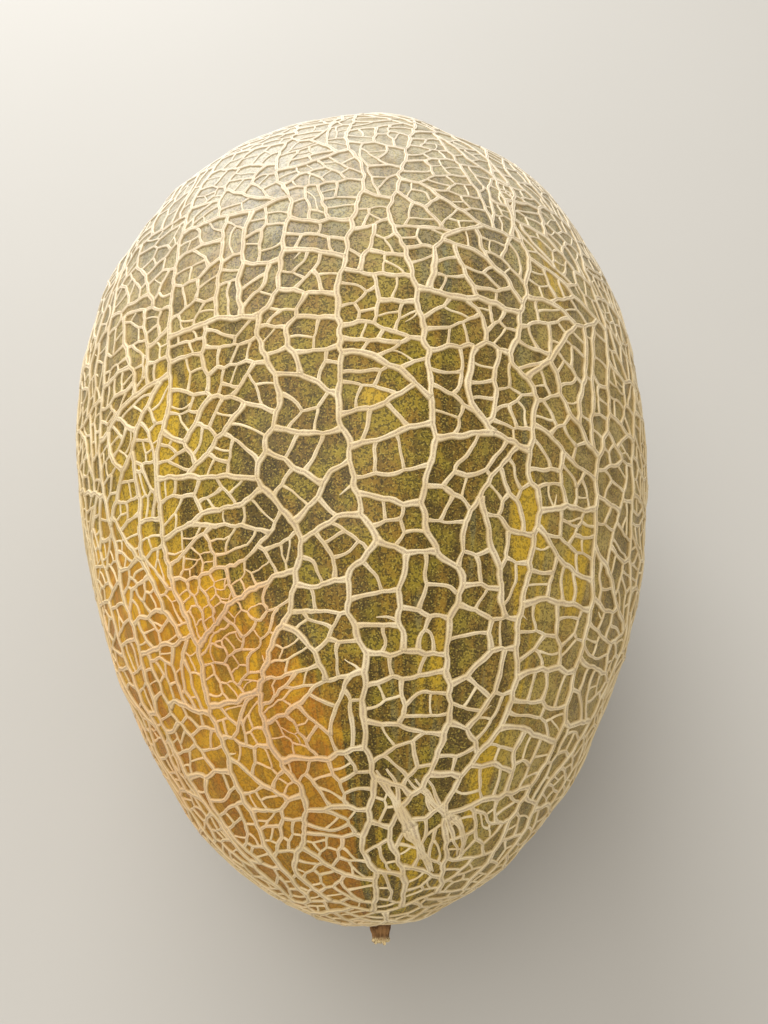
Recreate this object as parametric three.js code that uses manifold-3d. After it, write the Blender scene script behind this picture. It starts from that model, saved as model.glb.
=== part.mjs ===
// A netted melon lying on its side, with the dry stub of its stem.
// Millimetres, +Z up. +Y runs along the fruit, from the narrow stem end to the broad blossom end.
// The origin is on the surface that the fruit rests on, under the middle of the whole part.

import * as THREE from "three";
import { mergeVertices } from "three/addons/utils/BufferGeometryUtils.js";
import Module from "manifold-3d";

const wasm = await Module();
wasm.setup();

const fruitLength = 237; // from pole to pole, along the fruit's own axis
const fruitDiameter = 166; // at the broadest station, over the crests of the net
const restTilt = THREE.MathUtils.degToRad(7.6); // the narrow end dips until the weight is over the flat spot
const flatDepth = 0.8; // how much of the round underside the flat spot takes away

// How the outline differs from an ellipse. Each term bends it by a share of its radius.
const taper = -0.106; // thins the stem end and fills the blossom end
const squareness = -0.0355; // fills out both ends a little
const shoulder = 0.019; // rounds the stem end's shoulder
const crown = -0.0154; // flattens the middle stretch

// The axis isn't quite straight: the poles stand off it sideways.
const bow = 0.7; // both poles, the same way
const sway = 2.8; // the poles, opposite ways

const stationCount = 40; // rings of faces from pole to pole
const sectorCount = 72; // faces around the fruit

const stub = {
  baseRadius: 3.3, // the collar where it meets the fruit
  waistRadius: 2.5,
  endRadius: 2.7, // the torn end
  length: 3,
  pitDepth: 0.5, // the hollow in the torn end
  gap: 0.35, // between the fruit's pole and the collar
  sides: 28,
};

// The share of the full radius at an angle from the stem pole, 0, to the blossom pole, PI.
function outlineShare(angle) {
  const swell =
    1 +
    taper * Math.cos(angle) +
    squareness * Math.cos(2 * angle) +
    shoulder * Math.cos(3 * angle) +
    crown * Math.cos(4 * angle);
  return Math.sin(angle) * swell;
}

// Points from pole to pole as (radius, distance along the axis), with both ends on the axis.
function fruitOutline() {
  const angles = Array.from({ length: stationCount + 1 }, (_, i) => (Math.PI * i) / stationCount);
  const fullest = Math.max(...angles.map(outlineShare));
  return angles.map((angle, i) => {
    const onAxis = i === 0 || i === stationCount;
    const radius = onAxis ? 0 : ((fruitDiameter / 2) * outlineShare(angle)) / fullest;
    return new THREE.Vector2(radius, (-fruitLength / 2) * Math.cos(angle));
  });
}

// Moves each ring sideways, by a curve that is zero at the middle of the fruit.
function leanAxis(geometry) {
  const position = geometry.getAttribute("position");
  for (let i = 0; i < position.count; i++) {
    const along = position.getY(i) / (fruitLength / 2);
    position.setX(i, position.getX(i) + bow * along ** 2 + sway * along ** 3);
  }
}

function solidOf(geometry) {
  geometry.deleteAttribute("normal");
  geometry.deleteAttribute("uv");
  const merged = mergeVertices(geometry, 1e-4);
  const corners = merged.index.array;
  const faces = [];
  for (let i = 0; i < corners.length; i += 3) {
    const [a, b, c] = [corners[i], corners[i + 1], corners[i + 2]];
    if (a !== b && b !== c && c !== a) faces.push(a, b, c); // a pole has faces with no area
  }
  return new wasm.Manifold(
    new wasm.Mesh({
      numProp: 3,
      vertProperties: merged.getAttribute("position").array,
      triVerts: new Uint32Array(faces),
    }),
  );
}

function geometryOf(solid) {
  const mesh = solid.getMesh();
  const geometry = new THREE.BufferGeometry();
  geometry.setAttribute("position", new THREE.BufferAttribute(mesh.vertProperties, 3));
  geometry.setIndex(new THREE.BufferAttribute(mesh.triVerts, 1));
  geometry.computeVertexNormals();
  return geometry;
}

// The whole fruit as one body, tipped to the way it rests, with its flat spot at the height 0.
function makeFruit() {
  const round = new THREE.LatheGeometry(fruitOutline(), sectorCount);
  leanAxis(round);
  round.rotateX(restTilt);
  round.computeBoundingBox();
  round.translate(0, 0, -round.boundingBox.min.z - flatDepth);

  const cutDepth = 10;
  const below = new THREE.BoxGeometry(fruitDiameter, fruitLength, cutDepth);
  below.translate(0, 0, -cutDepth / 2);

  const skin = new THREE.MeshStandardMaterial({ color: 0xa8995c, roughness: 0.6, metalness: 0 });
  const mesh = new THREE.Mesh(geometryOf(solidOf(round).subtract(solidOf(below))), skin);
  mesh.name = "melon";
  return mesh;
}

// The stub's outline runs from the middle of its collar, in to the waist, out to the torn end and into its pit.
function makeStub() {
  const outline = new THREE.Path();
  const waistHeight = stub.length * 0.55;
  outline.moveTo(0, 0);
  outline.lineTo(stub.baseRadius, 0);
  outline.quadraticCurveTo(stub.waistRadius, stub.length * 0.1, stub.waistRadius, waistHeight);
  outline.quadraticCurveTo(stub.waistRadius, stub.length * 0.85, stub.endRadius, stub.length);
  outline.lineTo(stub.endRadius * 0.75, stub.length);
  outline.lineTo(0, stub.length - stub.pitDepth);

  const dryStem = new THREE.MeshStandardMaterial({ color: 0x8c7150, roughness: 0.9, metalness: 0 });
  const mesh = new THREE.Mesh(new THREE.LatheGeometry(outline.getPoints(5), stub.sides), dryStem);
  mesh.name = "stem_stub";
  return mesh;
}

// Stands the stub on the stem pole, pointing away from the fruit along its axis.
function placeStub(mesh, fruit) {
  const pole = new THREE.Vector3(bow - sway, -fruitLength / 2 - stub.gap, 0);
  pole.applyAxisAngle(new THREE.Vector3(1, 0, 0), restTilt);
  const axisHeight = fruit.geometry.boundingBox.max.z - topOfTiltedFruit();
  mesh.position.set(pole.x, pole.y, pole.z + axisHeight);
  mesh.rotation.x = Math.PI + restTilt;
}

// The height of the fruit's top over the middle of its axis, once it is tipped.
function topOfTiltedFruit() {
  const [sine, cosine] = [Math.sin(restTilt), Math.cos(restTilt)];
  return Math.max(...fruitOutline().map((point) => point.x * cosine + point.y * sine));
}

const fruit = makeFruit();
fruit.geometry.computeBoundingBox();

const stemStub = makeStub();
placeStub(stemStub, fruit);

const melon = new THREE.Group();
melon.add(fruit, stemStub);

// The part's origin is under the middle of its box.
const middle = new THREE.Box3().setFromObject(melon, true).getCenter(new THREE.Vector3());
melon.position.set(-middle.x, -middle.y, 0);

export default melon;
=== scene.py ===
import bpy
import numpy as np
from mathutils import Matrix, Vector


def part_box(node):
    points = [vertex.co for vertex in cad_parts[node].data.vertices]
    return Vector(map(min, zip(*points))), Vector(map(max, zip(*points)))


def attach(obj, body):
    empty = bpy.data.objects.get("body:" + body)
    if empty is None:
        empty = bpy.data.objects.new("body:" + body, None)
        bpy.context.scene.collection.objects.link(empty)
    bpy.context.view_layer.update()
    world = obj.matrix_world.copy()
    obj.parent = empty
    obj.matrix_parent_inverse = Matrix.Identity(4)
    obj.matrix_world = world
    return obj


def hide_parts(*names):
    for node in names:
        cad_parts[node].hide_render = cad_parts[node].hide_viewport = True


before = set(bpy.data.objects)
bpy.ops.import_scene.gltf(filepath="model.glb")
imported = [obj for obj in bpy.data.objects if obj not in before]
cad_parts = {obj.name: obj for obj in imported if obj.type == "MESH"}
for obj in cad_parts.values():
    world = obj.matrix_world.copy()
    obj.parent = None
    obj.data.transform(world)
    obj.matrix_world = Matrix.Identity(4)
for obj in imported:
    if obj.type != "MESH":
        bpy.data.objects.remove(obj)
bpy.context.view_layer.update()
mm = 0.001

# The fruit's own frame has its middle at the origin: X to the right, Y along the fruit towards the blossom
# end, Z up. A place on it is an angle from the stem pole, phi, and an angle around from the top, theta.
# In the dictionaries a place is (share of the length from the stem pole, degrees around, to the right).
fruitShape = {
    "length": 237 * mm,  # from pole to pole
    "restTilt": 7.6,  # degrees that the narrow end dips
    "taper": -0.106,  # thins the stem end and fills the blossom end
    "squareness": -0.0355,  # fills out both ends a little
    "shoulder": 0.019,  # rounds the stem end's shoulder
    "crown": -0.0154,  # flattens the middle stretch
    "bow": 0.7 * mm,  # both poles stand off the axis, the same way
    "sway": 2.8 * mm,  # the poles, opposite ways
}

fruitLow, fruitHigh = (np.array(corner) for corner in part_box("melon"))
halfLength = fruitShape["length"] / 2
halfWidth = (fruitHigh[0] - fruitLow[0]) / 2


# How much the outline swells past an ellipse: one plus a cosine term for each named bend.
def swell(phi):
    bends = ("taper", "squareness", "shoulder", "crown")
    return 1 + sum(fruitShape[bend] * np.cos((k + 1) * phi) for k, bend in enumerate(bends))


allPhi = np.linspace(0, np.pi, 721)
fullest = (np.sin(allPhi) * swell(allPhi)).max()


# The outline's radius is the sine of phi times the swell, scaled to the half width where it is fullest.
def radiusAt(phi):
    return halfWidth * np.sin(phi) * swell(phi) / fullest


# The surface turns the outline, radius and minus the half length times cos(phi), about the Y axis by theta.
def onFruit(phi, theta):
    radius = radiusAt(phi)
    return np.stack([radius * np.sin(theta), -halfLength * np.cos(phi), radius * np.cos(theta)], -1)


# The angles of the surface point under any point near the surface. phi is the arctangent of the radius over
# the distance along, and three rounds take the swell out of the radius.
def anglesOf(points):
    radius = np.hypot(points[..., 0], points[..., 2]) / halfWidth
    along = -points[..., 1] / halfLength
    phi = np.arctan2(radius, along)
    for _ in range(3):
        phi = np.arctan2(radius * fullest / swell(phi), along)
    return phi, np.arctan2(points[..., 0], points[..., 2])


# The outward direction is square to the outline's slope, which is measured over a small step of phi.
def outwardAt(phi, theta):
    step = 0.001
    slope = (radiusAt(phi + step) - radiusAt(phi - step)) / (2 * step)
    advance = halfLength * np.sin(phi)
    size = np.hypot(slope, advance)
    return np.stack([advance * np.sin(theta), -slope, advance * np.cos(theta)], -1) / size[..., None]


# How far along the fruit a place is, from 0 at the stem pole to 1 at the blossom pole.
def shareOf(phi):
    return (1 - np.cos(phi)) / 2


# The surface points under points near the surface.
def snapped(points):
    return onFruit(*anglesOf(points))


# Leans the axis by a square and a cube of the distance along, and tips the fruit to the way it rests.
def tipped(points):
    along = points[..., 1] / halfLength
    x = points[..., 0] + fruitShape["bow"] * along**2 + fruitShape["sway"] * along**3
    tilt = np.radians(fruitShape["restTilt"])
    y = points[..., 1] * np.cos(tilt) - points[..., 2] * np.sin(tilt)
    z = points[..., 1] * np.sin(tilt) + points[..., 2] * np.cos(tilt)
    return np.stack([x, y, z], -1)


# How far the tipped fruit has to move to lie where the CAD body lies: sides and ends centred, tops level.
outlineGrid = np.meshgrid(np.linspace(0, np.pi, 361), np.linspace(-np.pi, np.pi, 361))
outlinePoints = tipped(onFruit(*outlineGrid)).reshape(-1, 3)
restShift = (fruitLow + fruitHigh - outlinePoints.min(0) - outlinePoints.max(0)) / 2
restShift[2] = fruitHigh[2] - outlinePoints[:, 2].max()


# Points as they lie at rest. Nothing reaches below the surface that the fruit rests on.
def atRest(points):
    placed = tipped(points) + restShift
    placed[..., 2] = np.maximum(placed[..., 2], 0)
    return placed


# A smooth wandering value between about -1 and 1: a sum of sine waves of about one length, each its own way.
def ripple(points, waveLength, seed, waves=9):
    rng = np.random.default_rng(seed)
    directions = rng.normal(size=(waves, 3))
    directions /= np.linalg.norm(directions, axis=1, keepdims=True)
    turns = 2 * np.pi / (waveLength * rng.uniform(0.7, 1.5, waves))
    phases = rng.uniform(0, 2 * np.pi, waves)
    return np.sin(points @ (directions.T * turns) + phases).sum(-1) / np.sqrt(waves)


# A round hill of height one: the exponential of minus the square of the distance over the width.
def hill(value, middle, width):
    return np.exp(-(((value - middle) / width) ** 2))


# Rises smoothly from 0 to 1 between two values: three squares of the way less two cubes.
def rise(value, start, end):
    t = np.clip((value - start) / (end - start), 0, 1)
    return t * t * (3 - 2 * t)


# Rows of vectors scaled to the length one.
def unitRows(vectors):
    return vectors / (np.linalg.norm(vectors, axis=1, keepdims=True) + 1e-12)


# How far around theta is from a middle, from -180 to 180 degrees.
def degreesFrom(theta, middle):
    return (np.degrees(theta) - middle + 180) % 360 - 180


# Puts whole arrays into a mesh. Each array of faces holds faces with one number of corners.
def makePiece(name, points, faceArrays, material):
    mesh = bpy.data.meshes.new(name)
    corners = np.concatenate([faces.ravel() for faces in faceArrays]).astype(np.int32)
    sizes = np.concatenate([np.full(len(faces), faces.shape[1]) for faces in faceArrays])
    mesh.vertices.add(len(points))
    mesh.vertices.foreach_set("co", points.astype(np.float32).ravel())
    mesh.loops.add(len(corners))
    mesh.loops.foreach_set("vertex_index", corners)
    mesh.polygons.add(len(sizes))
    mesh.polygons.foreach_set("loop_start", np.r_[0, np.cumsum(sizes)[:-1]].astype(np.int32))
    mesh.update(calc_edges=True)
    mesh.shade_smooth()
    mesh.materials.append(material)
    piece = bpy.data.objects.new(name, mesh)
    bpy.context.scene.collection.objects.link(piece)
    return piece


# Gives every point of a piece a number, or a vector, that its material reads.
def setValues(piece, name, values):
    kind, field = ("FLOAT_VECTOR", "vector") if values.ndim > 1 else ("FLOAT", "value")
    layer = piece.data.attributes.new(name, kind, "POINT")
    layer.data.foreach_set(field, values.astype(np.float32).ravel())


# Gives every corner of a piece's faces its place in the map for baking.
def setBakeMap(piece, cornerPlaces):
    layer = piece.data.uv_layers.new(name="OFBake")
    layer.data.foreach_set("uv", cornerPlaces.astype(np.float32).ravel())


# A closed skin over a grid of points, rows by columns, that joins up around and ends in a point at each pole.
def closedSkin(rows, columns):
    row, column = np.meshgrid(np.arange(rows - 1), np.arange(columns), indexing="ij")
    here = row * columns + column
    beside = row * columns + (column + 1) % columns
    quads = np.stack([here, beside, beside + columns, here + columns], -1).reshape(-1, 4)
    around = np.arange(columns)
    besideRing = (around + 1) % columns
    lastRow = (rows - 1) * columns
    firstPole, lastPole = rows * columns, rows * columns + 1
    firstFan = np.stack([besideRing, around, np.full(columns, firstPole)], -1)
    lastFan = np.stack([lastRow + around, lastRow + besideRing, np.full(columns, lastPole)], -1)
    return quads, firstFan, lastFan


# A closed skin's bake map, with its columns across and its rows upwards.
def skinMap(rows, columns):
    row, column = np.meshgrid(np.arange(rows - 1), np.arange(columns), indexing="ij")
    row, column = row.ravel(), column.ravel()
    u = np.stack([column, column + 1, column + 1, column], -1) / columns
    v = np.stack([row, row, row + 1, row + 1], -1) / (rows + 1) + 1 / (rows + 1)
    around = np.arange(columns)
    firstU = np.stack([around + 1, around, around + 0.5], -1) / columns
    lastU = np.stack([around, around + 1, around + 0.5], -1) / columns
    firstV = np.broadcast_to(np.array([1, 1, 0]) / (rows + 1), firstU.shape)
    lastV = np.broadcast_to(np.array([rows, rows, rows + 1]) / (rows + 1), lastU.shape)
    places = [np.stack(pair, -1).reshape(-1, 2) for pair in ((u, v), (firstU, firstV), (lastU, lastV))]
    return np.concatenate(places)


# One value in a shader. Arithmetic on it adds Math nodes.
class Value:
    def __init__(self, shader, socket):
        self.shader = shader
        self.socket = socket

    def combine(self, operation, first, second):
        return self.shader.node("ShaderNodeMath", {"operation": operation}, {0: first, 1: second})

    def __add__(self, other):
        return self.combine("ADD", self, other)

    def __radd__(self, other):
        return self.combine("ADD", other, self)

    def __sub__(self, other):
        return self.combine("SUBTRACT", self, other)

    def __rsub__(self, other):
        return self.combine("SUBTRACT", other, self)

    def __mul__(self, other):
        return self.combine("MULTIPLY", self, other)

    def __rmul__(self, other):
        return self.combine("MULTIPLY", other, self)


# A material under construction. Constants are set on its main shader's sockets.
class Shader:
    def __init__(self, name, **constants):
        self.material = bpy.data.materials.new(name)
        self.material.use_nodes = True
        self.tree = self.material.node_tree
        self.main = self.tree.nodes["Principled BSDF"]
        for socketName, constant in constants.items():
            self.main.inputs[socketName.replace("_", " ")].default_value = constant

    # Adds a node: its settings first, then the values or links of its sockets. Gives one of its outputs.
    def node(self, kind, settings=None, sockets=None, output=0):
        made = self.tree.nodes.new(kind)
        for setting, value in (settings or {}).items():
            setattr(made, setting, value)
        for key, value in (sockets or {}).items():
            self.feed(made.inputs[key], value)
        return Value(self, made.outputs[output])

    def feed(self, socket, value):
        if isinstance(value, Value):
            self.tree.links.new(value.socket, socket)
        else:
            socket.default_value = value

    def objectPlace(self):
        return self.node("ShaderNodeTexCoord", output="Object")

    def attribute(self, name, output="Fac"):
        return self.node("ShaderNodeAttribute", {"attribute_name": name}, output=output)

    # Noise between 0 and 1 whose features are about as wide as size.
    def noise(self, place, size, detail=2.0, roughness=0.5):
        sockets = {"Vector": place, "Scale": 1 / size, "Detail": detail, "Roughness": roughness}
        return self.node("ShaderNodeTexNoise", {}, sockets)

    # Rises smoothly from 0 to 1 between two values.
    def rise(self, value, start, end):
        sockets = {"Value": value, "From Min": start, "From Max": end}
        return self.node("ShaderNodeMapRange", {"interpolation_type": "SMOOTHSTEP"}, sockets)

    # The Mix node's colour sockets are numbers 6 and 7, and its colour output is number 2.
    def mix(self, factor, first, second):
        sockets = {0: factor, 6: first, 7: second}
        return self.node("ShaderNodeMix", {"data_type": "RGBA"}, sockets, output=2)

    def bump(self, height, distance, strength):
        sockets = {"Height": height, "Distance": distance, "Strength": strength}
        return self.node("ShaderNodeBump", {}, sockets)

    def finish(self, **links):
        for socketName, value in links.items():
            self.feed(self.main.inputs[socketName.replace("_", " ")], value)
        return self.material


# A colour from its screen values, 0 to 255.
def screen(red, green, blue):
    share = np.array([red, green, blue]) / 255
    linear = np.where(share <= 0.04045, share / 12.92, ((share + 0.055) / 1.055) ** 2.4)
    return (*linear.tolist(), 1.0)


rindLook = {
    "rows": 236,
    "columns": 340,
    "depth": 0.72 * mm,  # how far the rind lies below the crests of the heaviest net
    "swells": ((34 * mm, 0.40 * mm, 11), (13 * mm, 0.16 * mm, 12)),  # wave length, height, seed
    "farShoulders": ((0.87, 11, 10, 1.2 * mm), (0.87, 29, 9, -1.1 * mm)),  # share, degrees, width, height
    "shoulderLength": 0.05,
    "blossomDimple": (1.6 * mm, 0.10),  # depth, and width in radians
    "stemDimple": (0.5 * mm, 0.12),
    "streakLength": 9,  # less makes longer streaks
    "darkOlive": screen(92, 72, 18),
    "olive": screen(142, 108, 30),
    "yellowGreen": screen(160, 142, 36),
    "fleckDark": screen(48, 38, 4),
    "fleckLight": screen(184, 162, 74),
    "gold": screen(212, 158, 28),
    "orange": screen(182, 118, 24),
    "amber": screen(146, 108, 28),
    "russet": screen(150, 94, 20),
    "yellow": screen(200, 162, 36),
    "blueGreen": screen(112, 116, 84),
    # the pale ground spot underneath, and a painted sheen on the right side, the far end and the far left
    "spotAndSheenGreen": screen(188, 162, 106),
    # a painted sheen: the sky's whitish reflection on the far end
    "paintedSheen": screen(196, 196, 186),
    "scar": screen(150, 116, 70),
}


# How far the rind stands from the smooth surface: minus its depth under the crests, plus low swells, plus the
# far shoulder's bump and hollow, minus a round dimple at each end.
def rindLift(points, phi, theta):
    look = rindLook
    lift = -look["depth"] + sum(size * ripple(points, wave, seed) for wave, size, seed in look["swells"])
    for share, degrees, halfWide, size in look["farShoulders"]:
        along = hill(shareOf(phi), share, look["shoulderLength"])
        lift = lift + size * along * hill(degreesFrom(theta, degrees), 0, halfWide)
    for pole, (depth, halfWide) in ((np.pi, look["blossomDimple"]), (0, look["stemDimple"])):
        lift = lift - depth * hill(phi, pole, halfWide)
    return lift


# Where the rind turned golden, from 0 to 1. The edge starts 8 degrees left of the top and moves left along
# the fruit. It is sharp near the stem end only, and the gold fades along the fruit.
def goldAt(share, degrees):
    edge = -8 - 11 * rise(share, 0.17, 0.27) - 20 * rise(share, 0.26, 0.38)
    softness = 3 + 16 * rise(share, 0.14, 0.30)
    inside = rise(edge - degrees, -softness, softness * 1.3) * rise(degrees, -150, -95)
    fading = (1 - 0.75 * rise(share, 0.22, 0.48)) * (1 - rise(share, 0.45, 0.65))
    return inside * fading * (0.62 + 0.38 * rise(share, 0.04, 0.16))


# Yellow streaks and patches: share, degrees, half length as a share, half width in degrees, strength.
yellowPatches = (
    (0.27, 30, 0.24, 15, 0.24),
    (0.25, 29, 0.17, 3.5, 0.16),
    (0.05, 10, 0.05, 30, 0.45),
    (0.40, -43, 0.16, 20, 0.46),
    (0.20, -30, 0.12, 25, 0.30),
    (0.13, 26, 0.03, 4, 0.6),
    (0.33, 27, 0.04, 3.5, 0.7),
    (0.30, 40, 0.05, 3, 0.7),
    (0.35, -61, 0.06, 6, 0.75),
    (0.47, -34, 0.05, 4, 0.6),
    (0.28, -47, 0.10, 7, 0.6),
    (0.44, 1.5, 0.012, 2.2, 0.9),
    (0.22, 10, 0.05, 4, 0.45),
    (0.60, 34, 0.08, 4, 0.4),
    (0.35, 118, 0.18, 6, 0.7),
    (0.55, 165, 0.2, 9, 0.7),
    (0.4, 212, 0.2, 7, 0.7),
)


# The patches added up, each a hill both ways.
def yellowAt(share, degrees):
    total = np.zeros_like(share)
    for middle, turn, halfAlong, halfAround, strength in yellowPatches:
        aside = degreesFrom(np.radians(degrees), turn)
        total = total + strength * hill(share, middle, halfAlong) * hill(aside, 0, halfAround)
    return np.clip(total, 0, 1)


# The pale ground where the fruit lay on the soil, and a painted sheen: the greyer, paler green of the right
# side, the far end and the far left, which stands in for the sky's reflection there. The strongest of the
# four counts.
def spotAndSheenAt(share, degrees):
    under = rise(np.abs(degrees), 120, 165)
    rightSheen = 0.9 * rise(degrees, 8, 50)
    farEndSheen = rise(share, 0.52, 0.85)
    leftTopSheen = 0.65 * rise(share, 0.28, 0.60) * rise(-degrees, 0, 40)
    return np.clip(np.maximum.reduce([under, rightSheen, farEndSheen, leftTopSheen]), 0, 1)


# The whitish painted sheen of the far end, which stands in for the sky's reflection, strongest at its upper
# left and weaker at the pole itself.
def paintedSheenAt(share, degrees):
    strength = 0.75 + 0.25 * rise(-degrees, -10, 40)
    return strength * rise(share, 0.46, 0.88) * (1 - 0.35 * rise(share, 0.90, 1))


# The rind's colour is a ground, greyed and whitened by painted sheen in places, with yellow, gold, flecks and
# the scars at the poles over it in turn.
def rindMaterial():
    look = rindLook
    shader = Shader("melonRind", Specular_IOR_Level=0.3)
    noise, rising, mix = shader.noise, shader.rise, shader.mix
    place = shader.objectPlace()
    lengthwise = shader.attribute("lengthwise", "Vector")
    broad = noise(lengthwise, 9 * mm, 3)
    streak = noise(lengthwise, 3 * mm, 4, 0.6)
    fleck = noise(place, 0.75 * mm, 2, 0.6)
    fineFleck = noise(place, 0.38 * mm, 1, 0.5)
    blotch = noise(place, 6 * mm, 3, 0.55)

    lightHere = rising(streak + (broad - 0.5) * 0.7, 0.36, 0.62)
    ground = mix(lightHere, look["darkOlive"], look["olive"])
    greenHere = rising(blotch * 0.6 + broad * 0.4, 0.46, 0.60)
    ground = mix(greenHere * 0.6, ground, look["yellowGreen"])
    ribbon = noise(lengthwise, 4.5 * mm, 2)
    ribbonHere = rising(ribbon - (blotch - 0.5) * 0.3, 0.58, 0.68)
    ground = mix(ribbonHere * 0.45, ground, look["blueGreen"])
    # Painted sheen greys the ground on the right side, the far end and the far left. Underneath, the same
    # colour is the real pale ground spot.
    spotAndSheenHere = shader.attribute("spotAndSheen") * rising(blotch, 0.15, 0.8)
    ground = mix(spotAndSheenHere * 0.85, ground, look["spotAndSheenGreen"])
    # Painted sheen: the far end is washed whitish, standing in for the sky's reflection.
    paintedSheen = shader.attribute("paintedSheen")
    ground = mix(paintedSheen * rising(blotch, 0.05, 0.6) * 0.8, ground, look["paintedSheen"])

    wander = (streak - 0.5) * 1.1 + (blotch - 0.5) * 0.5
    yellowHere = rising(shader.attribute("yellow") + wander, 0.30, 0.66)
    goldHere = rising(shader.attribute("gold") + wander * 0.9, 0.26, 0.66)
    warm = mix(rising(broad + (blotch - 0.5) * 0.9, 0.38, 0.58), look["orange"], look["gold"])
    warm = mix(rising(streak - (blotch - 0.5) * 0.6, 0.50, 0.62) * 0.75, warm, look["amber"])
    russetHere = shader.attribute("russet") * rising(blotch, 0.25, 0.55)
    warm = mix(russetHere * 0.75, warm, look["russet"])
    colour = mix(yellowHere * 0.85, ground, look["yellow"])
    colour = mix(goldHere * 0.92, colour, warm)

    # Flecks are fainter in the gold and the yellow, and washed out under the far end's painted sheen.
    quiet = 1 - goldHere * 0.50 - yellowHere * 0.25 - paintedSheen * 0.45
    darkFlecks = rising(fleck * 0.6 + fineFleck * 0.4, 0.49, 0.56) * quiet
    lightFlecks = rising(0.4 * fleck + (1 - fineFleck) * 0.6, 0.54, 0.62) * quiet
    colour = mix(lightFlecks * 0.60, colour, look["fleckLight"])
    # Dark flecks are also fainter where the painted sheen greys the ground, and on the pale ground spot.
    colour = mix(darkFlecks * (0.72 - shader.attribute("spotAndSheen") * 0.26), colour, look["fleckDark"])
    colour = mix(shader.attribute("scar"), colour, look["scar"])

    bumps = shader.bump(fineFleck + blotch * 2, 0.05 * mm, 0.7)
    roughness = 0.42 + (fleck - 0.5) * 0.25
    return shader.finish(Base_Color=colour, Roughness=roughness, Normal=bumps)


# The rind's rows follow phi and its columns theta. Each point of the smooth surface moves out by rindLift.
def makeRind():
    rows, columns = rindLook["rows"], rindLook["columns"]
    rowPhi = np.linspace(0, np.pi, rows + 2)[1:-1]
    columnTheta = np.linspace(-np.pi, np.pi, columns, endpoint=False)
    phi, theta = np.meshgrid(rowPhi, columnTheta, indexing="ij")
    phi = np.r_[phi.ravel(), 0, np.pi]
    theta = np.r_[theta.ravel(), 0, 0]
    smooth = onFruit(phi, theta)
    points = smooth + outwardAt(phi, theta) * rindLift(smooth, phi, theta)[:, None]
    faceArrays = closedSkin(rows, columns)
    piece = makePiece("melon_rind", atRest(points), faceArrays, rindMaterial())

    share, degrees = shareOf(phi), np.degrees(theta)
    setValues(piece, "gold", goldAt(share, degrees))
    setValues(piece, "yellow", yellowAt(share, degrees))
    setValues(piece, "russet", 1 - rise(share, 0.06, 0.22))
    # The pale ground spot, and the painted sheen of the right side, the far end and the far left.
    setValues(piece, "spotAndSheen", spotAndSheenAt(share, degrees))
    # The far end's whitish painted sheen.
    setValues(piece, "paintedSheen", paintedSheenAt(share, degrees))
    setValues(piece, "scar", np.maximum(hill(phi, np.pi, 0.075), 0.8 * hill(phi, 0, 0.06)))
    lengthwise = phi * rindLook["streakLength"] * mm
    stretched = np.stack([np.sin(theta) * halfWidth, np.cos(theta) * halfWidth, lengthwise], -1)
    setValues(piece, "lengthwise", stretched)

    setBakeMap(piece, skinMap(rows, columns))
    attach(piece, "root")
    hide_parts("melon")


netLook = {
    "seed": 7,
    "room": 200000,  # for points
    "spacing": 1.0 * mm,  # between the points of a line
    "mainWidth": 1.38 * mm,
    "farThinning": 0.28,
    "ringWidth": 1.0 * mm,
    "routeSpan": (0.03, 0.96, 11),  # of a hidden main line: first and last share, knots
    "hiddenTurns": (84, 272, 11),  # first and last degrees, how many
    "hiddenWander": 3.5,  # degrees
    "shortness": 2.4,  # how much a split prefers a short line,
    "balance": 3.0,  # two equal cells,
    "squareMeeting": 1.2,  # and meeting the walls squarely
    "whim": 0.12,  # how much chance there is in it
    "mostOptions": 60,  # places on a wall that are tried
    "tries": ((0.45, 2), (0.3, 1), (0.15, 0)),  # least squareness, points kept off a joint
    "cellSpread": (0.8, 2.0),  # times the usual area
    "bow": 0.075,  # as a share of a line's length
    "longLine": 12 * mm,  # only longer ones have waves
    "waves": 0.7 * mm,
    "waveRadian": 6 * mm,  # the slowest wave's length over two pi
    "smallCell": 24,  # square mm: a line that splits this or less has the least width
    "leastWidth": 0.48,  # mm
    "widening": 0.19,  # mm, each time the cell is twice as large
    "mostWidth": 1.3,  # mm
    "widthSpread": (0.82, 1.2),
    "crackThinning": 0.35,
    "relaxSteps": 4,
    "relaxPace": 0.5,
    "wobbles": ((5 * mm, 0.22 * mm, 51), (24 * mm, 0.7 * mm, 54)),  # wave length, distance, seed
    "crackWobble": (2.8 * mm, 0.40 * mm, 57),
    "spurs": 100,  # short lines that end inside a cell
    "spurCell": 22,  # square mm, at least
    "spurReach": (0.8, 1.2),  # over the distance to the cell's middle
    "spurBend": 0.25,
    "spurWidths": (0.45, 0.7),  # mm
    "spurEnd": 0.4,  # share of its width
    "bandStrands": (-1.2, 0, 1.2),  # degrees to the side
    "bandSpread": (0.002, 0.95),  # share and degrees
    "bandWidths": (1.2, 2.0),  # mm
    "bandEnd": 0.3,  # share of its width
    "bakeSpan": (150 * mm, 250 * mm),  # of a quarter's bake map
}

# Bands of heavy cork near the stem end, as (share, degrees).
corkBands = (
    ((.135, -1), (.12, 1), (.108, 3.5), (.098, 5), (.085, 9), (.075, 11), (.06, 17), (.05, 22)),
    ((.125, 9), (.115, 12), (.10, 16), (.092, 21), (.08, 25), (.065, 31)),
)

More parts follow.
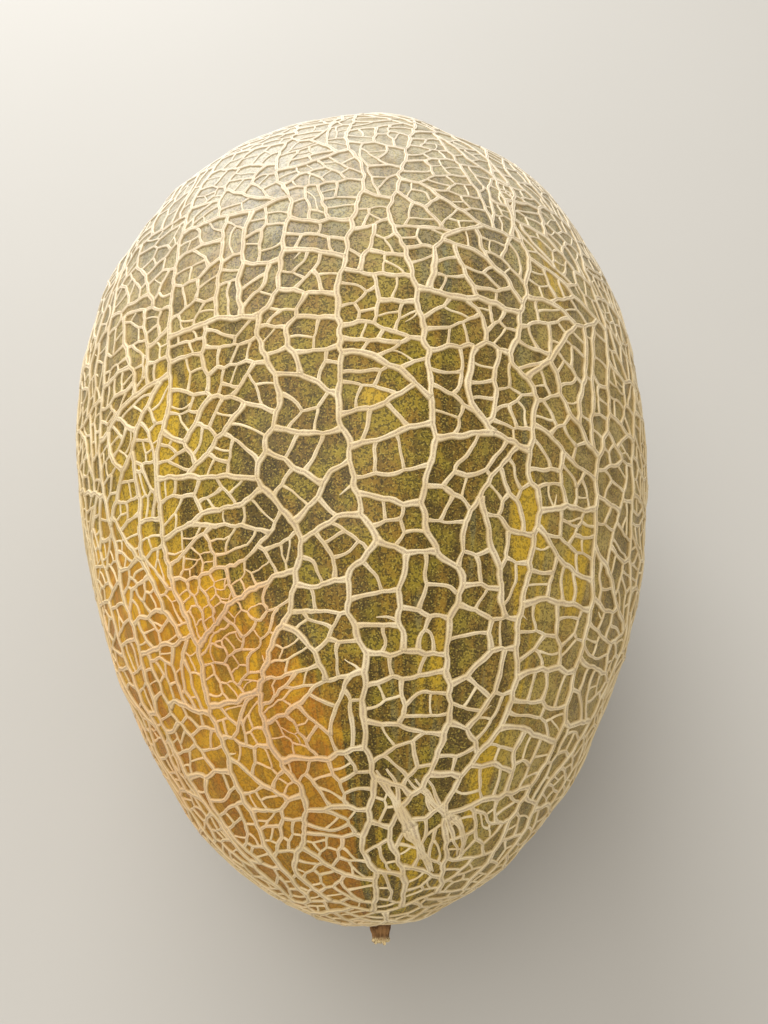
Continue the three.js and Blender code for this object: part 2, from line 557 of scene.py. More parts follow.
# The lengthwise lines along which the skin split first, from end to end, as (share, degrees).
mainRoutes = (
    ((.03, -66), (.1, -72), (.2, -70), (.3, -73), (.42, -70), (.55, -68), (.7, -66), (.85, -70),
     (.96, -75)),
    ((.03, -58), (.1, -54), (.18, -57), (.27, -53.5), (.32, -55), (.37, -53), (.45, -54), (.56, -51),
     (.65, -50), (.8, -52), (.96, -50)),
    ((.03, -44), (.09, -40), (.15, -38.5), (.19, -38.5), (.24, -36), (.3, -38), (.4, -37.5), (.46, -34),
     (.58, -32), (.72, -31), (.85, -28), (.96, -25)),
    ((.03, -30), (.055, -37), (.075, -27.5), (.1, -22), (.12, -20), (.15, -24.5), (.19, -24), (.23, -22),
     (.27, -15), (.32, -12.5), (.37, -18), (.4, -17), (.45, -14), (.52, -16), (.56, -13), (.65, -11),
     (.75, -14), (.96, -8)),
    ((.02, -8), (.05, -2), (.07, -6.5), (.09, -5), (.12, -2), (.15, -2), (.18, -3), (.22, -2.5), (.25, -4),
     (.29, -4), (.31, 0), (.34, -1.7), (.4, -3), (.42, -4.8), (.47, -3.7), (.54, -4.2), (.58, -2),
     (.65, -.5), (.7, 2), (.75, -1), (.82, 0), (.96, 8)),
    ((.02, 14), (.05, 9), (.08, 3), (.1, 4), (.12, 10.5), (.15, 12.5), (.2, 13.7), (.25, 13.5), (.28, 15),
     (.3, 10.5), (.33, 8.3), (.36, 8), (.39, 9.5), (.45, 9.7), (.55, 8.5), (.6, 7), (.64, 5), (.7, 8),
     (.8, 12), (.96, 25)),
    ((.03, 34), (.07, 22), (.1, 17), (.13, 22), (.16, 28), (.2, 29), (.25, 27), (.35, 29), (.38, 26.5),
     (.45, 28), (.48, 24), (.52, 26), (.6, 29), (.72, 27), (.85, 32), (.96, 42)),
    ((.03, 52), (.08, 45), (.12, 48), (.17, 48), (.2, 46), (.3, 44.5), (.4, 43.5), (.47, 46), (.57, 47),
     (.65, 46), (.8, 50), (.96, 60)),
    ((.03, 62), (.1, 55), (.16, 60), (.25, 66), (.35, 58), (.42, 56), (.5, 58), (.6, 62), (.75, 68),
     (.96, 78)),
)


# The routes on the sides and underneath are evenly spread, each with a seeded wander.
def hiddenRoutes(rng):
    shares = np.linspace(*netLook["routeSpan"])
    turns = np.linspace(*netLook["hiddenTurns"])
    return [[(share, turn + rng.normal(0, netLook["hiddenWander"])) for share in shares] for turn in turns]


# A smooth curve through its knots: a cubic between each two, with slopes from the knots beside them.
def throughKnots(knots):
    ends = np.vstack([2 * knots[0] - knots[1], knots, 2 * knots[-1] - knots[-2]])
    t = np.linspace(0, 1, 24, endpoint=False)[None, :, None]
    a, b, c, d = (ends[k : len(ends) - 3 + k, None] for k in range(4))
    curve = b + 0.5 * ((c - a) * t + (2 * a - 5 * b + 4 * c - d) * t**2 + (3 * b - a - 3 * c + d) * t**3)
    return np.vstack([curve.reshape(-1, knots.shape[1]), knots[-1:]])


# Points on the surface along a curve, a spacing apart as measured along it.
def evenSteps(phi, theta):
    points = onFruit(phi, theta)
    run = np.r_[0, np.cumsum(np.linalg.norm(np.diff(points, axis=0), axis=1))]
    stops = np.linspace(0, run[-1], max(3, int(run[-1] / netLook["spacing"]) + 1))
    return onFruit(np.interp(stops, run, phi), np.interp(stops, run, theta))


# The net as one list of points that its lines share, so that lines stay joined when the points move.
class Net:
    def __init__(self, seed):
        self.rng = np.random.default_rng(seed)
        self.points = np.zeros((netLook["room"], 3))
        self.isJoint = np.zeros(netLook["room"], bool)
        self.count = 0
        self.lines = []  # point numbers, width, width at the far end as a share

    def add(self, points):
        numbers = np.arange(self.count, self.count + len(points))
        self.points[numbers] = points
        self.count += len(points)
        return numbers

    # Adds a smooth curve through places given as (share, degrees).
    def addCurve(self, places):
        curve = throughKnots(np.stack([np.arccos(1 - 2 * places[:, 0]), np.radians(places[:, 1])], -1))
        return self.add(evenSteps(curve[:, 0], curve[:, 1]))

    def draw(self, numbers, width, endShare=1.0):
        self.lines.append((numbers, width, endShare))
        self.isJoint[numbers[0]] = True
        self.isJoint[numbers[-1]] = True


# The first cells lie between neighbouring routes, with a cell inside the ring around each pole.
def startNet(net):
    routes = [net.addCurve(np.array(route)) for route in (*mainRoutes, *hiddenRoutes(net.rng))]
    cells = []
    stemRing, blossomRing = [], []
    for here, there in zip(routes, routes[1:] + routes[:1]):
        arcs = []
        for end, ring in ((0, stemRing), (-1, blossomRing)):
            phiHere, thetaHere = anglesOf(net.points[here[end]])
            phiThere, thetaThere = anglesOf(net.points[there[end]])
            t = np.linspace(0, 1, 30)
            turn = (thetaThere - thetaHere) % (2 * np.pi)
            arc = evenSteps(phiHere + (phiThere - phiHere) * t, thetaHere + turn * t)
            numbers = np.r_[here[end], net.add(arc[1:-1]), there[end]]
            net.draw(numbers, netLook["ringWidth"])
            arcs.append(numbers)
            ring.append(numbers[:-1])
        low, high = arcs
        cells.append(np.r_[here[:-1], high[:-1], there[::-1][:-1], low[::-1][:-1]])
        net.draw(here, netLook["mainWidth"])
    return [*cells, np.concatenate(stemRing)[::-1], np.concatenate(blossomRing)]


# Chooses the two points of a cell's wall that a new line joins best. flat is the wall laid flat, in order.
# A pair costs its distance, the square of how unequal the cells are, and the squares of how slantingly the
# line meets the wall. No line may meet it less squarely than least.
def bestPair(flat, options, rng, least):
    tangent = unitRows(np.roll(flat, -2, 0) - np.roll(flat, 2, 0))
    inward = np.stack([-tangent[:, 1], tangent[:, 0]], -1)[options]
    stops = flat[options]
    chord = stops[None] - stops[:, None]
    length = np.linalg.norm(chord, axis=-1) + 1e-9
    unit = chord / length[..., None]
    leaving = (unit * inward[:, None]).sum(-1)
    arriving = -(unit * inward[None]).sum(-1)
    slivers = flat[:, 0] * np.roll(flat[:, 1], -1) - np.roll(flat[:, 0], -1) * flat[:, 1]
    swept = np.r_[0, np.cumsum(slivers)] / 2
    back = (stops[None, :, 0] * stops[:, None, 1] - stops[:, None, 0] * stops[None, :, 1]) / 2
    share = (swept[options][None] - swept[options][:, None] + back) / swept[-1]
    cellSize = np.sqrt(abs(swept[-1]))
    cost = netLook["shortness"] * length / cellSize + netLook["balance"] * 4 * (share - 0.5) ** 2
    cost = cost + netLook["squareMeeting"] * ((1 - leaving) ** 2 + (1 - arriving) ** 2)
    cost = cost + rng.normal(0, netLook["whim"], cost.shape)
    cost[(leaving < least) | (arriving < least) | (share < least / 2) | (share > 1 - least / 2)] = np.inf
    first, second = np.unravel_index(np.argmin(cost), cost.shape)
    if not np.isfinite(cost[first, second]):
        return None
    return sorted((options[first], options[second]))


# A cell's outward direction, and its wall laid flat: the distance from its middle along the fruit, and the
# distance across over the stretch. Near a pole the direction along is taken square to X.
def laidFlat(wall, stretch):
    arms = wall - wall.mean(0)
    areaVector = np.cross(arms, np.roll(arms, -1, 0)).sum(0)
    normal = areaVector / np.linalg.norm(areaVector)
    lengthwise = np.array([0, 1.0, 0]) - normal * normal[1]
    if np.linalg.norm(lengthwise) < 0.2:
        lengthwise = np.cross(normal, [1.0, 0, 0])
    lengthwise /= np.linalg.norm(lengthwise)
    return normal, np.stack([arms @ lengthwise, arms @ np.cross(normal, lengthwise) / stretch], -1)


# Chooses the ends of the line that splits a cell, well away from joints if it can.
def choosePair(net, cell, flat):
    taken = net.isJoint[cell]
    pair = None
    for least, reach in netLook["tries"]:
        crowded = np.any([np.roll(taken, shift) for shift in range(-reach, reach + 1)], axis=0)
        options = np.nonzero(~crowded)[0]
        if len(options) > netLook["mostOptions"]:
            options = np.sort(net.rng.choice(options, netLook["mostOptions"], replace=False))
        if pair is None and len(options) > 3:
            pair = bestPair(flat, options, net.rng, least)
    return pair


# A cubic from one point of the wall to another, which leaves it half squarely. A half sine bows it to one
# side, with waves when it is long.
def newPath(net, wall, i, j, normal):
    start, end = wall[i], wall[j]
    reach = np.linalg.norm(end - start)
    ahead = (end - start) / reach
    aside = np.cross(normal, ahead)

    def squarely(k):
        inward = np.cross(normal, wall[(k + 2) % len(wall)] - wall[k - 2])
        return inward / (np.linalg.norm(inward) + 1e-12)

    t = np.linspace(0, 1, max(3, int(round(reach / netLook["spacing"])) + 1))[:, None]
    leaving = 0.5 * (ahead + squarely(i)) * reach
    arriving = 0.5 * (ahead - squarely(j)) * reach
    path = (2 * t**3 - 3 * t**2 + 1) * start + (t**3 - 2 * t**2 + t) * leaving
    path = path + (3 * t**2 - 2 * t**3) * end + (t**3 - t**2) * arriving
    offset = net.rng.normal(0, netLook["bow"]) * reach
    if reach > netLook["longLine"]:
        phases = net.rng.uniform(0, 2 * np.pi, 3)
        waves = [np.sin(k * t * reach / netLook["waveRadian"] + phases[k - 1]) / k for k in (1, 2, 3)]
        offset = offset + netLook["waves"] * sum(waves)
    return snapped(path + np.sin(np.pi * t) * offset * aside)


# Splits a cell, which is its wall's point numbers, anticlockwise from outside. Gives the line and both cells.
def splitCell(net, cell, stretch):
    wall = net.points[cell]
    normal, flat = laidFlat(wall, stretch)
    pair = choosePair(net, cell, flat)
    if pair is None:
        return None
    i, j = pair
    inner = net.add(newPath(net, wall, i, j, normal)[1:-1])
    numbers = np.r_[cell[i], inner, cell[j]]
    return numbers, np.r_[cell[i : j + 1], inner[::-1]], np.r_[cell[j:], cell[: i + 1], inner]


# The usual cell at a place: its area in square mm, and how much wider around the fruit it is than long.
def cellsAt(share, degrees):
    area = 27 + 18 * hill(share, 0.36, 0.12) * hill(degrees, 0, 26)
    area = area + 9 * hill(share, 0.2, 0.08) * hill(degrees, 25, 20) - 7 * hill(share, 0, 0.12)
    leftSide = rise(-degrees, 12, 30) * (1 - rise(-degrees, 80, 110)) * (1 - rise(share, 0.45, 0.65))
    underside = rise(np.abs(degrees), 85, 120)
    area = area * (1 - 0.25 * leftSide) * (1 + 0.45 * underside) * (1 - 0.64 * fineCrackAt(share, degrees))
    stretch = 1.1 + 0.4 * hill(np.abs(degrees), 55, 18) * (1 - rise(share, 0.40, 0.62))
    return area - 3 * rise(share, 0.5, 0.75), stretch


# Two patches where the cork is a crackle of thin, pinkish lines.
def fineCrackAt(share, degrees):
    large = hill(share, 0.27, 0.08) * hill(degrees, -27, 12)
    small = 0.6 * hill(share, 0.165, 0.035) * hill(degrees, -20, 7)
    return np.clip(large + small, 0, 1)


# A line's width grows by an equal step each time the cell that it splits is twice as large.
def lineWidth(area, rng):
    doublings = np.log2(max(area, netLook["smallCell"]) / netLook["smallCell"])
    width = netLook["leastWidth"] + netLook["widening"] * doublings
    return min(width, netLook["mostWidth"]) * rng.uniform(*netLook["widthSpread"]) * mm


# Splits cells until each is near its usual area.
def growNet():
    net = Net(netLook["seed"])
    waiting = startNet(net)
    done = []
    while waiting:
        cell = waiting.pop()
        wall = net.points[cell]
        arms = wall - wall.mean(0)
        area = np.linalg.norm(np.cross(arms, np.roll(arms, -1, 0)).sum(0)) / 2 / mm**2
        phi, theta = anglesOf(wall.mean(0))
        share, degrees = shareOf(phi), np.degrees(theta)
        usualArea, stretch = cellsAt(share, degrees)
        made = None
        if area > usualArea * net.rng.uniform(*netLook["cellSpread"]):
            made = splitCell(net, cell, stretch)
        if made is None:
            done.append((area, cell))
            continue
        numbers, first, second = made
        thin = 1 - netLook["crackThinning"] * fineCrackAt(share, degrees)
        net.draw(numbers, lineWidth(area, net.rng) * thin)
        waiting += [first, second]
    addSpurs(net, [cell for area, cell in done if area > netLook["spurCell"]])
    addBands(net)
    largest = round(max(area for area, cell in done))
    print("net:", len(net.lines), "lines around", len(done), "cells, the largest", largest, "square mm")
    return net


# Strands that run side by side and across each other. Each is two lines, so that it tapers both ways.
def addBands(net):
    for route in corkBands:
        knots = np.array(route)
        for aside in netLook["bandStrands"]:
            moved = knots + (0, aside) + net.rng.normal(0, 1, knots.shape) * netLook["bandSpread"]
            numbers = net.addCurve(moved)
            half = len(numbers) // 2
            width = net.rng.uniform(*netLook["bandWidths"]) * mm
            net.draw(numbers[half::-1], width, netLook["bandEnd"])
            net.draw(numbers[half:], width, netLook["bandEnd"])


# Short lines that leave a wall and die out inside the cell, along a parabola towards its middle.
def addSpurs(net, cells):
    for choice in net.rng.choice(len(cells), min(len(cells), netLook["spurs"]), replace=False):
        cell = cells[choice]
        wall = net.points[cell]
        k = int(net.rng.integers(0, len(cell)))
        towards = wall.mean(0) - wall[k]
        reach = np.linalg.norm(towards) * net.rng.uniform(*netLook["spurReach"])
        t = np.linspace(0, 1, max(4, int(reach / netLook["spacing"]) + 2))[:, None]
        normal = np.cross(wall[(k + 2) % len(cell)] - wall[k - 2], towards)
        aside = np.cross(normal, towards)
        aside /= np.linalg.norm(aside) + 1e-12
        bend = net.rng.normal(0, netLook["spurBend"]) * reach
        path = wall[k] + towards / (np.linalg.norm(towards) + 1e-12) * reach * t + aside * bend * t**2
        numbers = np.r_[cell[k], net.add(snapped(path[1:]))]
        net.draw(numbers, net.rng.uniform(*netLook["spurWidths"]) * mm, netLook["spurEnd"])


# Evens out the lines: each point moves part of the way to the mean of its neighbours, wide lines pulling
# harder. The loose ends of lines stay. Then every point moves by wandering values of its place.
def relaxNet(net):
    links = np.concatenate([np.stack([numbers[:-1], numbers[1:]], -1) for numbers, width, end in net.lines])
    widths = np.concatenate([np.full(len(numbers) - 1, width) for numbers, width, end in net.lines])
    here = np.r_[links[:, 0], links[:, 1]]
    there = np.r_[links[:, 1], links[:, 0]]
    pull = np.r_[widths, widths]
    total = np.bincount(here, pull, net.count)
    pace = netLook["relaxPace"] * (np.bincount(here, minlength=net.count) > 1)[:, None]
    for _ in range(netLook["relaxSteps"]):
        points = net.points[: net.count]
        mean = np.stack([np.bincount(here, pull * points[there, k], net.count) for k in range(3)], -1)
        net.points[: net.count] = snapped(points + pace * (mean / total[:, None] - points))

    points = net.points[: net.count]
    phi, theta = anglesOf(points)
    crack = fineCrackAt(shareOf(phi), np.degrees(theta))[:, None]
    moved = points + wandering(points, *netLook["crackWobble"]) * crack
    for wobble in netLook["wobbles"]:
        moved = moved + wandering(points, *wobble)
    net.points[: net.count] = snapped(moved)


# A direction and distance that wander with the place: a ripple for each of X, Y and Z.
def wandering(points, waveLength, distance, seed):
    return distance * np.stack([ripple(points, waveLength, seed + k) for k in range(3)], -1)


corkLook = {
    "heightPerWidth": 0.29,
    "leastHeight": 0.15 * mm,
    "endDrop": 0.6,  # of its height, as a line thins to nothing
    "flare": 0.4,  # how much a line widens where it joins another
    "flareReach": 1.1 * mm,
    "widthRipples": ((0.13, 6 * mm, 31), (0.08, 2.6 * mm, 34)),  # share, wave length, seed
    "heightRipple": (0.12, 4 * mm, 32),
    "lineSteps": (0.02 * mm, 2.3, 33),  # from line to line, in height
    "buried": 0.35 * mm,  # how far its underside lies inside the rind
    "cream": screen(219, 195, 148),
    "paleCream": screen(234, 214, 172),
    "groove": screen(176, 152, 126),
    # the cork under the far end's painted sheen
    "sheenCream": screen(232, 228, 218),
    "warmCream": screen(230, 190, 138),
    "tan": screen(212, 164, 118),
    "edge": screen(168, 138, 78),
}

# The sections of a line, from the widest lines to the finest: the least width, how plain the middle is, and
# the points up to its middle, as (offset over width, share of the height, share of the buried depth).
lineSections = {
    "main": (1.15 * mm, 0, ((-0.56, 0, 1), (-0.50, 0.34, 0), (-0.36, 0.92, 0), (-0.17, 1, 0), (0, 0.70, 0))),
    "middle": (0.68 * mm, 0.1, ((-0.56, 0, 1), (-0.43, 0.66, 0), (-0.19, 1, 0), (0, 0.80, 0))),
    "fine": (0, 0.6, ((-0.56, 0, 1), (-0.36, 0.74, 0), (0, 1, 0))),
}


# Cream cork, whiter at the far end under a painted sheen that stands in for the sky's reflection, and warmer
# in the gold, with a dark groove in a wide line and dark edges.
def corkMaterial():
    look = corkLook
    shader = Shader("melonCork", Specular_IOR_Level=0.3)
    place = shader.objectPlace()
    grain = shader.noise(place, 0.35 * mm, 3, 0.6)
    patches = shader.noise(place, 5 * mm, 3, 0.5)
    across = shader.attribute("across")
    warmth = shader.attribute("warmth")
    colour = shader.mix(shader.rise(patches, 0.35, 0.65), look["cream"], look["paleCream"])
    # Painted sheen: the cork at the far end is whitened, standing in for the sky's reflection.
    colour = shader.mix(shader.attribute("paintedSheen") * 0.9, colour, look["sheenCream"])
    colour = shader.mix(shader.rise(warmth + (patches - 0.5) * 0.8, 0.25, 0.75), colour, look["warmCream"])
    colour = shader.mix(shader.rise(warmth + (grain - 0.5) * 0.6, 0.70, 1.2), colour, look["tan"])
    grooveHere = (1 - shader.rise(across, 0.10, 0.52)) * shader.rise(grain, 0.30, 0.55)
    colour = shader.mix(grooveHere * 0.72, colour, look["groove"])
    colour = shader.mix(shader.rise(across, 0.72, 1.0) * 0.6, colour, look["edge"])
    bumps = shader.bump(grain + shader.noise(place, 1.1 * mm, 2) * 1.5, 0.12 * mm, 0.9)
    return shader.finish(Base_Color=colour, Roughness=0.72 + (grain - 0.5) * 0.2, Normal=bumps)


# How pinkish the cork is at a place: 0 is cream, and over 1 is tan.
def warmthAt(share, degrees):
    return 0.55 * goldAt(share, degrees) + 0.60 * fineCrackAt(share, degrees)


# For each point of the lines: its line, whether it is the first, its distance from the start, and the length.
def alongLines(centre, lengths):
    lineOf = np.repeat(np.arange(len(lengths)), lengths)
    lineStart = np.r_[0, np.cumsum(lengths)[:-1]]
    isFirst = np.zeros(len(lineOf), bool)
    isFirst[lineStart] = True
    steps = np.where(isFirst, 0, np.linalg.norm(centre - np.roll(centre, 1, 0), axis=1))
    run = np.cumsum(steps)
    fromStart = run - run[lineStart][lineOf]
    whole = fromStart[np.r_[lineStart[1:], len(lineOf)] - 1][lineOf]
    return lineOf, isFirst, fromStart, whole


# The direction across a line is its own, from the point behind to the one ahead, crossed with outward.
def acrossLines(centre, outward, isFirst, isLast):
    ahead = np.where(isLast[:, None], centre, np.roll(centre, -1, 0))
    behind = np.where(isFirst[:, None], centre, np.roll(centre, 1, 0))
    return unitRows(np.cross(unitRows(ahead - behind), outward))


# The width and height at each point. The line's width, less on the far end, has ripples and a flare at each
# joint, and shrinks towards a loose end. The height grows with the width.
def lineSizes(centre, phi, lines, lineOf, fromStart, whole):
    look = corkLook
    base = np.array([width for numbers, width, end in lines])[lineOf]
    endShare = np.array([end for numbers, width, end in lines])[lineOf]
    base = base * (1 - netLook["farThinning"] * rise(shareOf(phi), 0.5, 0.75))
    endFlare = hill(whole - fromStart, 0, look["flareReach"]) * (endShare == 1)
    flare = hill(fromStart, 0, look["flareReach"]) + endFlare
    uneven = sum((size * ripple(centre, wave, seed) for size, wave, seed in look["widthRipples"]), 1)
    width = base * uneven * (1 + look["flare"] * flare)
    width = width * (1 + (endShare - 1) * (fromStart / whole) ** 1.5)

    size, wave, seed = look["heightRipple"]
    height = look["leastHeight"] + look["heightPerWidth"] * base * (1 + size * ripple(centre, wave, seed))
    height = height * (1 - look["endDrop"] * (1 - endShare) * fromStart / whole)
    size, wave, seed = look["lineSteps"]
    return width, height + size * ripple(lineOf[:, None] * np.ones(3), wave, seed)


# Quads around each step of a line, and caps at both of its ends.
def sweptFaces(isFirst, isLast, sides):
    ring = np.arange(sides)
    beside = (ring + 1) % sides
    joined = np.nonzero(~isLast)[0][:, None] * sides
    quads = np.stack([joined + ring, joined + sides + ring, joined + sides + beside, joined + beside], -1)
    startCaps = np.nonzero(isFirst)[0][:, None] * sides + ring
    endCaps = np.nonzero(isLast)[0][:, None] * sides + ring[::-1]
    return quads, np.vstack([startCaps, endCaps])


# The bake map looks straight at the quarter's middle, with no room for a line's last side, the buried one.
def netMap(points, middle, quads, caps):
    turn = np.radians(middle)
    acrossSpan, alongSpan = netLook["bakeSpan"]
    aside = (points[:, 0] * np.cos(turn) - points[:, 2] * np.sin(turn)) / acrossSpan + 0.5
    places = np.stack([aside, points[:, 1] / alongSpan + 0.5], -1)
    shown = quads.copy()
    shown[:, -1] = shown[:, -1, :1]
    return places[np.r_[shown.ravel(), caps.ravel()]]


# Carries the section along every line at once. A point goes to its centre, plus the direction across times
# offset and width, plus outward times the rind's height and the section's share of the line's height.
def sweepLines(name, net, lines, middle, plain, section, material):
    centre = net.points[np.concatenate([numbers for numbers, width, end in lines])]
    lengths = np.array([len(numbers) for numbers, width, end in lines])
    lineOf, isFirst, fromStart, whole = alongLines(centre, lengths)
    isLast = np.roll(isFirst, -1)
    phi, theta = anglesOf(centre)
    outward = outwardAt(phi, theta)
    sideways = acrossLines(centre, outward, isFirst, isLast)
    width, height = lineSizes(centre, phi, lines, lineOf, fromStart, whole)

    offset = section[None, :, 0] * width[:, None]
    onRind = rindLift(centre, phi, theta)[:, None] + section[None, :, 1] * height[:, None]
    above = onRind - section[None, :, 2] * corkLook["buried"]
    points = centre[:, None] + sideways[:, None] * offset[..., None] + outward[:, None] * above[..., None]
    sides = len(section)
    quads, caps = sweptFaces(isFirst, isLast, sides)
    piece = makePiece(name, atRest(points).reshape(-1, 3), [quads.reshape(-1, 4), caps], material)
    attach(piece, "root")
    share, degrees = shareOf(phi), np.degrees(theta)
    setValues(piece, "across", np.tile(np.maximum(np.abs(section[:, 0]) / 0.5, plain), len(centre)))
    setValues(piece, "warmth", np.repeat(warmthAt(share, degrees), sides))
    # The far end's painted sheen, which the cork's colour reads.
    setValues(piece, "paintedSheen", np.repeat(paintedSheenAt(share, degrees), sides))
    setBakeMap(piece, netMap(points.reshape(-1, 3), middle, quads, caps))
    return quads.size // 2 + 2 * (sides - 2) * len(lines)


# The net is made as a piece for each quarter of the fruit and each section: the quarter's name and middle.
netQuarters = (("top_left", -45), ("top_right", 45), ("under_right", 135), ("under_left", 225))


# A line belongs to its middle's quarter, and to the first section that it is wide enough for.
def makeNet():
    net = growNet()
    relaxNet(net)
    material = corkMaterial()
    middles = np.array([net.points[numbers[len(numbers) // 2]] for numbers, width, end in net.lines])
    turns = anglesOf(middles)[1]
    widths = np.array([width for numbers, width, end in net.lines])
    total = 0
    for quarter, middle in netQuarters:
        inQuarter = np.abs(degreesFrom(turns, middle)) <= 45
        widest = np.inf
        for kind, (least, plain, half) in lineSections.items():
            section = np.array(half + tuple((-offset, *rest) for offset, *rest in half[-2::-1]))
            chosen = np.nonzero(inQuarter & (widths >= least) & (widths < widest))[0]
            widest = least
            lines = [net.lines[k] for k in chosen]
            name = f"net_{kind}_{quarter}"
            total += sweepLines(name, net, lines, middle, plain, section, material)
    print("the net has", total, "triangles")


stubLook = {
    "rows": 60,
    "columns": 96,
    "ridges": 13,
    "ridgeDepth": 0.16,  # as a share of the radius
    "slimness": 0.84,  # of the CAD collar's radius
    "rooted": 2.2 * mm,  # how far its foot lies inside the fruit's smooth outline
    "profile": ((1.0, 0.0), (0.98, 0.2), (0.92, 0.40), (0.80, 0.55), (0.76, 0.75), (0.82, 0.95), (0.78, 1.0),
                (0.60, 1.0), (0.40, 0.90), (0.20, 0.82), (0.06, 0.80)),  # radius and length as shares
    "bark": screen(146, 108, 66),
    "darkBark": screen(84, 56, 30),
    "tornEnd": screen(228, 206, 156),
}


# Bark in two browns, with pale fibres at the torn end.
def stubMaterial():
    look = stubLook
    shader = Shader("melonDryStem", Specular_IOR_Level=0.25)
    place = shader.objectPlace()
    fibres = shader.noise(place, 0.5 * mm, 4, 0.65)
    blotch = shader.noise(place, 2 * mm, 2)
    colour = shader.mix(shader.rise(blotch, 0.35, 0.65), look["darkBark"], look["bark"])
    colour = shader.mix(shader.attribute("torn") * shader.rise(fibres, 0.3, 0.6), colour, look["tornEnd"])
    return shader.finish(Base_Color=colour, Roughness=0.85, Normal=shader.bump(fibres, 0.2 * mm, 0.9))


# The stub turns a profile about its axis: a collar rooted in the rind, a waist and a torn end with a pit.
# Ridges run along it as a cosine around it, and the torn end's height varies with a slow and a quick wave.
def makeStub():
    low, high = (np.array(corner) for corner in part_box("stem_stub"))
    collarRadius = (high[0] - low[0]) / 2 * stubLook["slimness"]
    tilt = np.radians(fruitShape["restTilt"])
    axis = np.array([0, -np.cos(tilt), -np.sin(tilt)])
    pole = atRest(onFruit(np.zeros(1), np.zeros(1)))[0]
    foot = pole - axis * stubLook["rooted"]
    reach = (pole[1] - low[1]) / np.cos(tilt) + stubLook["rooted"] - collarRadius * np.tan(tilt)
    profile = throughKnots(np.array(stubLook["profile"]))
    rows = np.linspace(0, len(profile) - 1, stubLook["rows"])
    radius = np.interp(rows, np.arange(len(profile)), profile[:, 0])[:, None] * collarRadius
    along = np.interp(rows, np.arange(len(profile)), profile[:, 1])[:, None]
    around = np.linspace(0, 2 * np.pi, stubLook["columns"], endpoint=False)[None]
    ridge = np.cos(stubLook["ridges"] * around + 1.5 * along + 0.6 * np.sin(3 * around))
    radius = radius * (1 - stubLook["ridgeDepth"] * (0.5 - 0.5 * ridge))
    torn = rise(along, 0.62, 0.95)
    along = along * reach * (1 - 0.08 * torn * (1.7 + np.sin(2 * around + 0.7) + 0.9 * np.sin(7 * around)))
    radius, along, torn = np.broadcast_arrays(radius, along, torn)
    sideways = np.array([1.0, 0, 0])
    turned = np.cos(around)[..., None] * sideways + np.sin(around)[..., None] * np.cross(sideways, axis)
    points = foot + along[..., None] * axis + radius[..., None] * turned
    pit = np.array([foot, foot + axis * reach * 0.8])
    material = stubMaterial()
    faceArrays = closedSkin(stubLook["rows"], stubLook["columns"])
    piece = makePiece("dry_stem_stub", np.vstack([points.reshape(-1, 3), pit]), faceArrays, material)
    setValues(piece, "torn", np.r_[torn.ravel(), 0, 1])
    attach(piece, "root")
    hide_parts("stem_stub")


studioLook = {
    "floor": screen(180, 176, 169),
    "floorDust": screen(166, 162, 154),
    "floorReach": 3.0,  # metres from the middle to each edge
    "sky": (1.0, 0.985, 0.95, 1.0),
    "skyStrength": 0.72,
    "lookedAt": (0, 0, 0.08),  # where the lamps point
    "lamps": (  # name, place, size, power and colour
        ("window", (-0.45, 1.25, 0.80), 1.3, 25, (0.96, 0.98, 1.0)),
        ("overhead", (-0.40, -0.1, 1.3), 1.0, 7, (1.0, 0.96, 0.90)),
    ),
    "lens": 29.88,
    "cameraPlace": (-4.5 * mm, -137.05 * mm, 296.2 * mm),  # from under the middle of the fruit's box
    "cameraDown": 59.0,  # degrees
    "cameraTurn": 4.268,  # degrees, to the right
    "cameraRoll": 1.018,  # degrees, clockwise
}


def makeFloor():
    shader = Shader("paleFloor", Roughness=0.75)
    dust = shader.noise(shader.objectPlace(), 90 * mm, 3)
    shader.finish(Base_Color=shader.mix(dust * 0.12, studioLook["floor"], studioLook["floorDust"]))
    reach = studioLook["floorReach"]
    corners = np.array([(-reach, -reach, 0), (reach, -reach, 0), (reach, reach, 0), (-reach, reach, 0)])
    floor = makePiece("studio_floor", corners, [np.array([[0, 1, 2, 3]])], shader.material)


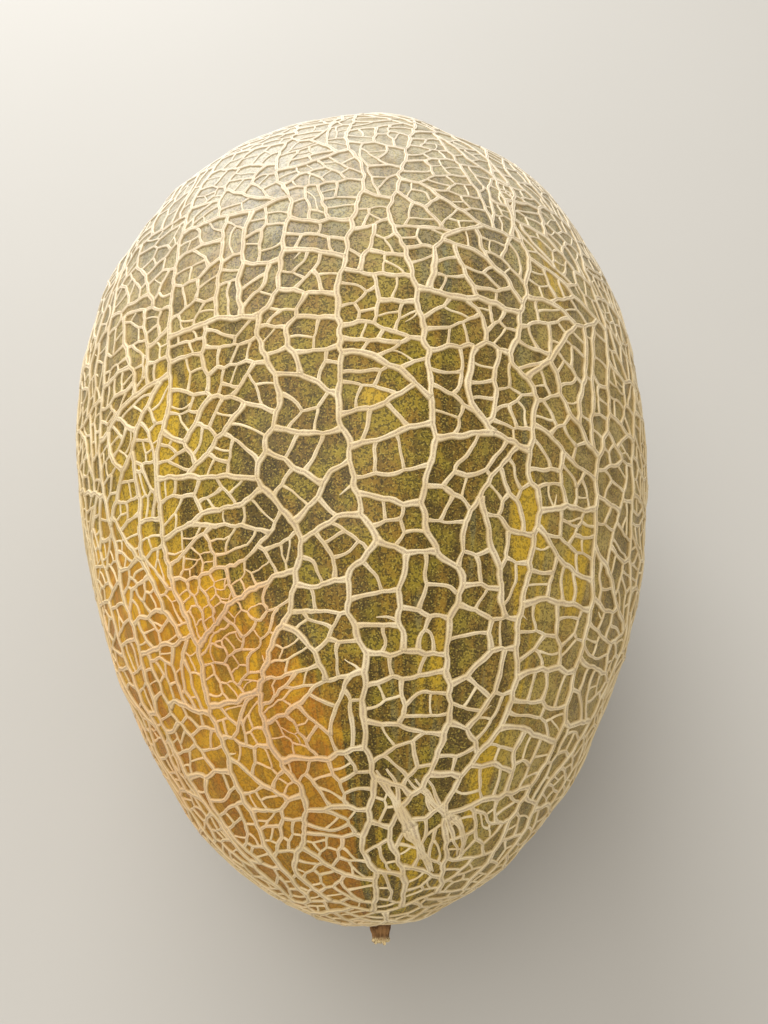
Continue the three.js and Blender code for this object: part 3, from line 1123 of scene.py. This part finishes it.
# A round lamp, tilted from straight down and turned to point at the fruit.
def addLight(name, place, size, power, colour):
    light = bpy.data.lights.new(name, "AREA")
    light.shape = "DISK"
    light.size = size
    light.energy = power
    light.color = colour
    lamp = bpy.data.objects.new(name, light)
    bpy.context.scene.collection.objects.link(lamp)
    toLamp = np.array(place) - np.array(studioLook["lookedAt"])
    tilt = np.arccos(toLamp[2] / np.linalg.norm(toLamp))
    lamp.location = place
    lamp.rotation_euler = (tilt, 0, np.arctan2(toLamp[0], -toLamp[1]))


def makeStudio():
    makeFloor()
    world = bpy.data.worlds.new("softSky")
    bpy.context.scene.world = world
    bpy.context.scene.view_settings.view_transform = "Standard"
    world.use_nodes = True
    sky = world.node_tree.nodes["Background"]
    sky.inputs["Color"].default_value = studioLook["sky"]
    sky.inputs["Strength"].default_value = studioLook["skyStrength"]
    for lamp in studioLook["lamps"]:
        addLight(*lamp)


# Forward is turned and tipped down, right is level, and then right and up are rolled about forward.
def makeCamera():
    down, turn, roll = (np.radians(studioLook[key]) for key in ("cameraDown", "cameraTurn", "cameraRoll"))
    forward = np.array([np.sin(turn) * np.cos(down), np.cos(turn) * np.cos(down), -np.sin(down)])
    right = np.array([np.cos(turn), -np.sin(turn), 0])
    up = np.cross(right, forward)
    rolledRight = right * np.cos(roll) + up * np.sin(roll)
    rolledUp = up * np.cos(roll) - right * np.sin(roll)
    data = bpy.data.cameras.new("camera")
    data.lens = studioLook["lens"]
    data.clip_start = 0.01
    camera = bpy.data.objects.new("camera", data)
    bpy.context.scene.collection.objects.link(camera)
    turned = np.eye(4)
    turned[:3, :3] = np.stack([rolledRight, rolledUp, -forward], -1)
    turned[:3, 3] = (fruitLow + fruitHigh) / 2 * (1, 1, 0) + studioLook["cameraPlace"]
    camera.matrix_world = [list(row) for row in turned.T]
    bpy.context.scene.camera = camera


makeCamera()
makeStudio()
print("camera, floor and lights are ready")
makeRind()
print("the rind is ready")
makeNet()
print("the net is ready")
makeStub()
print("the stem stub is ready")
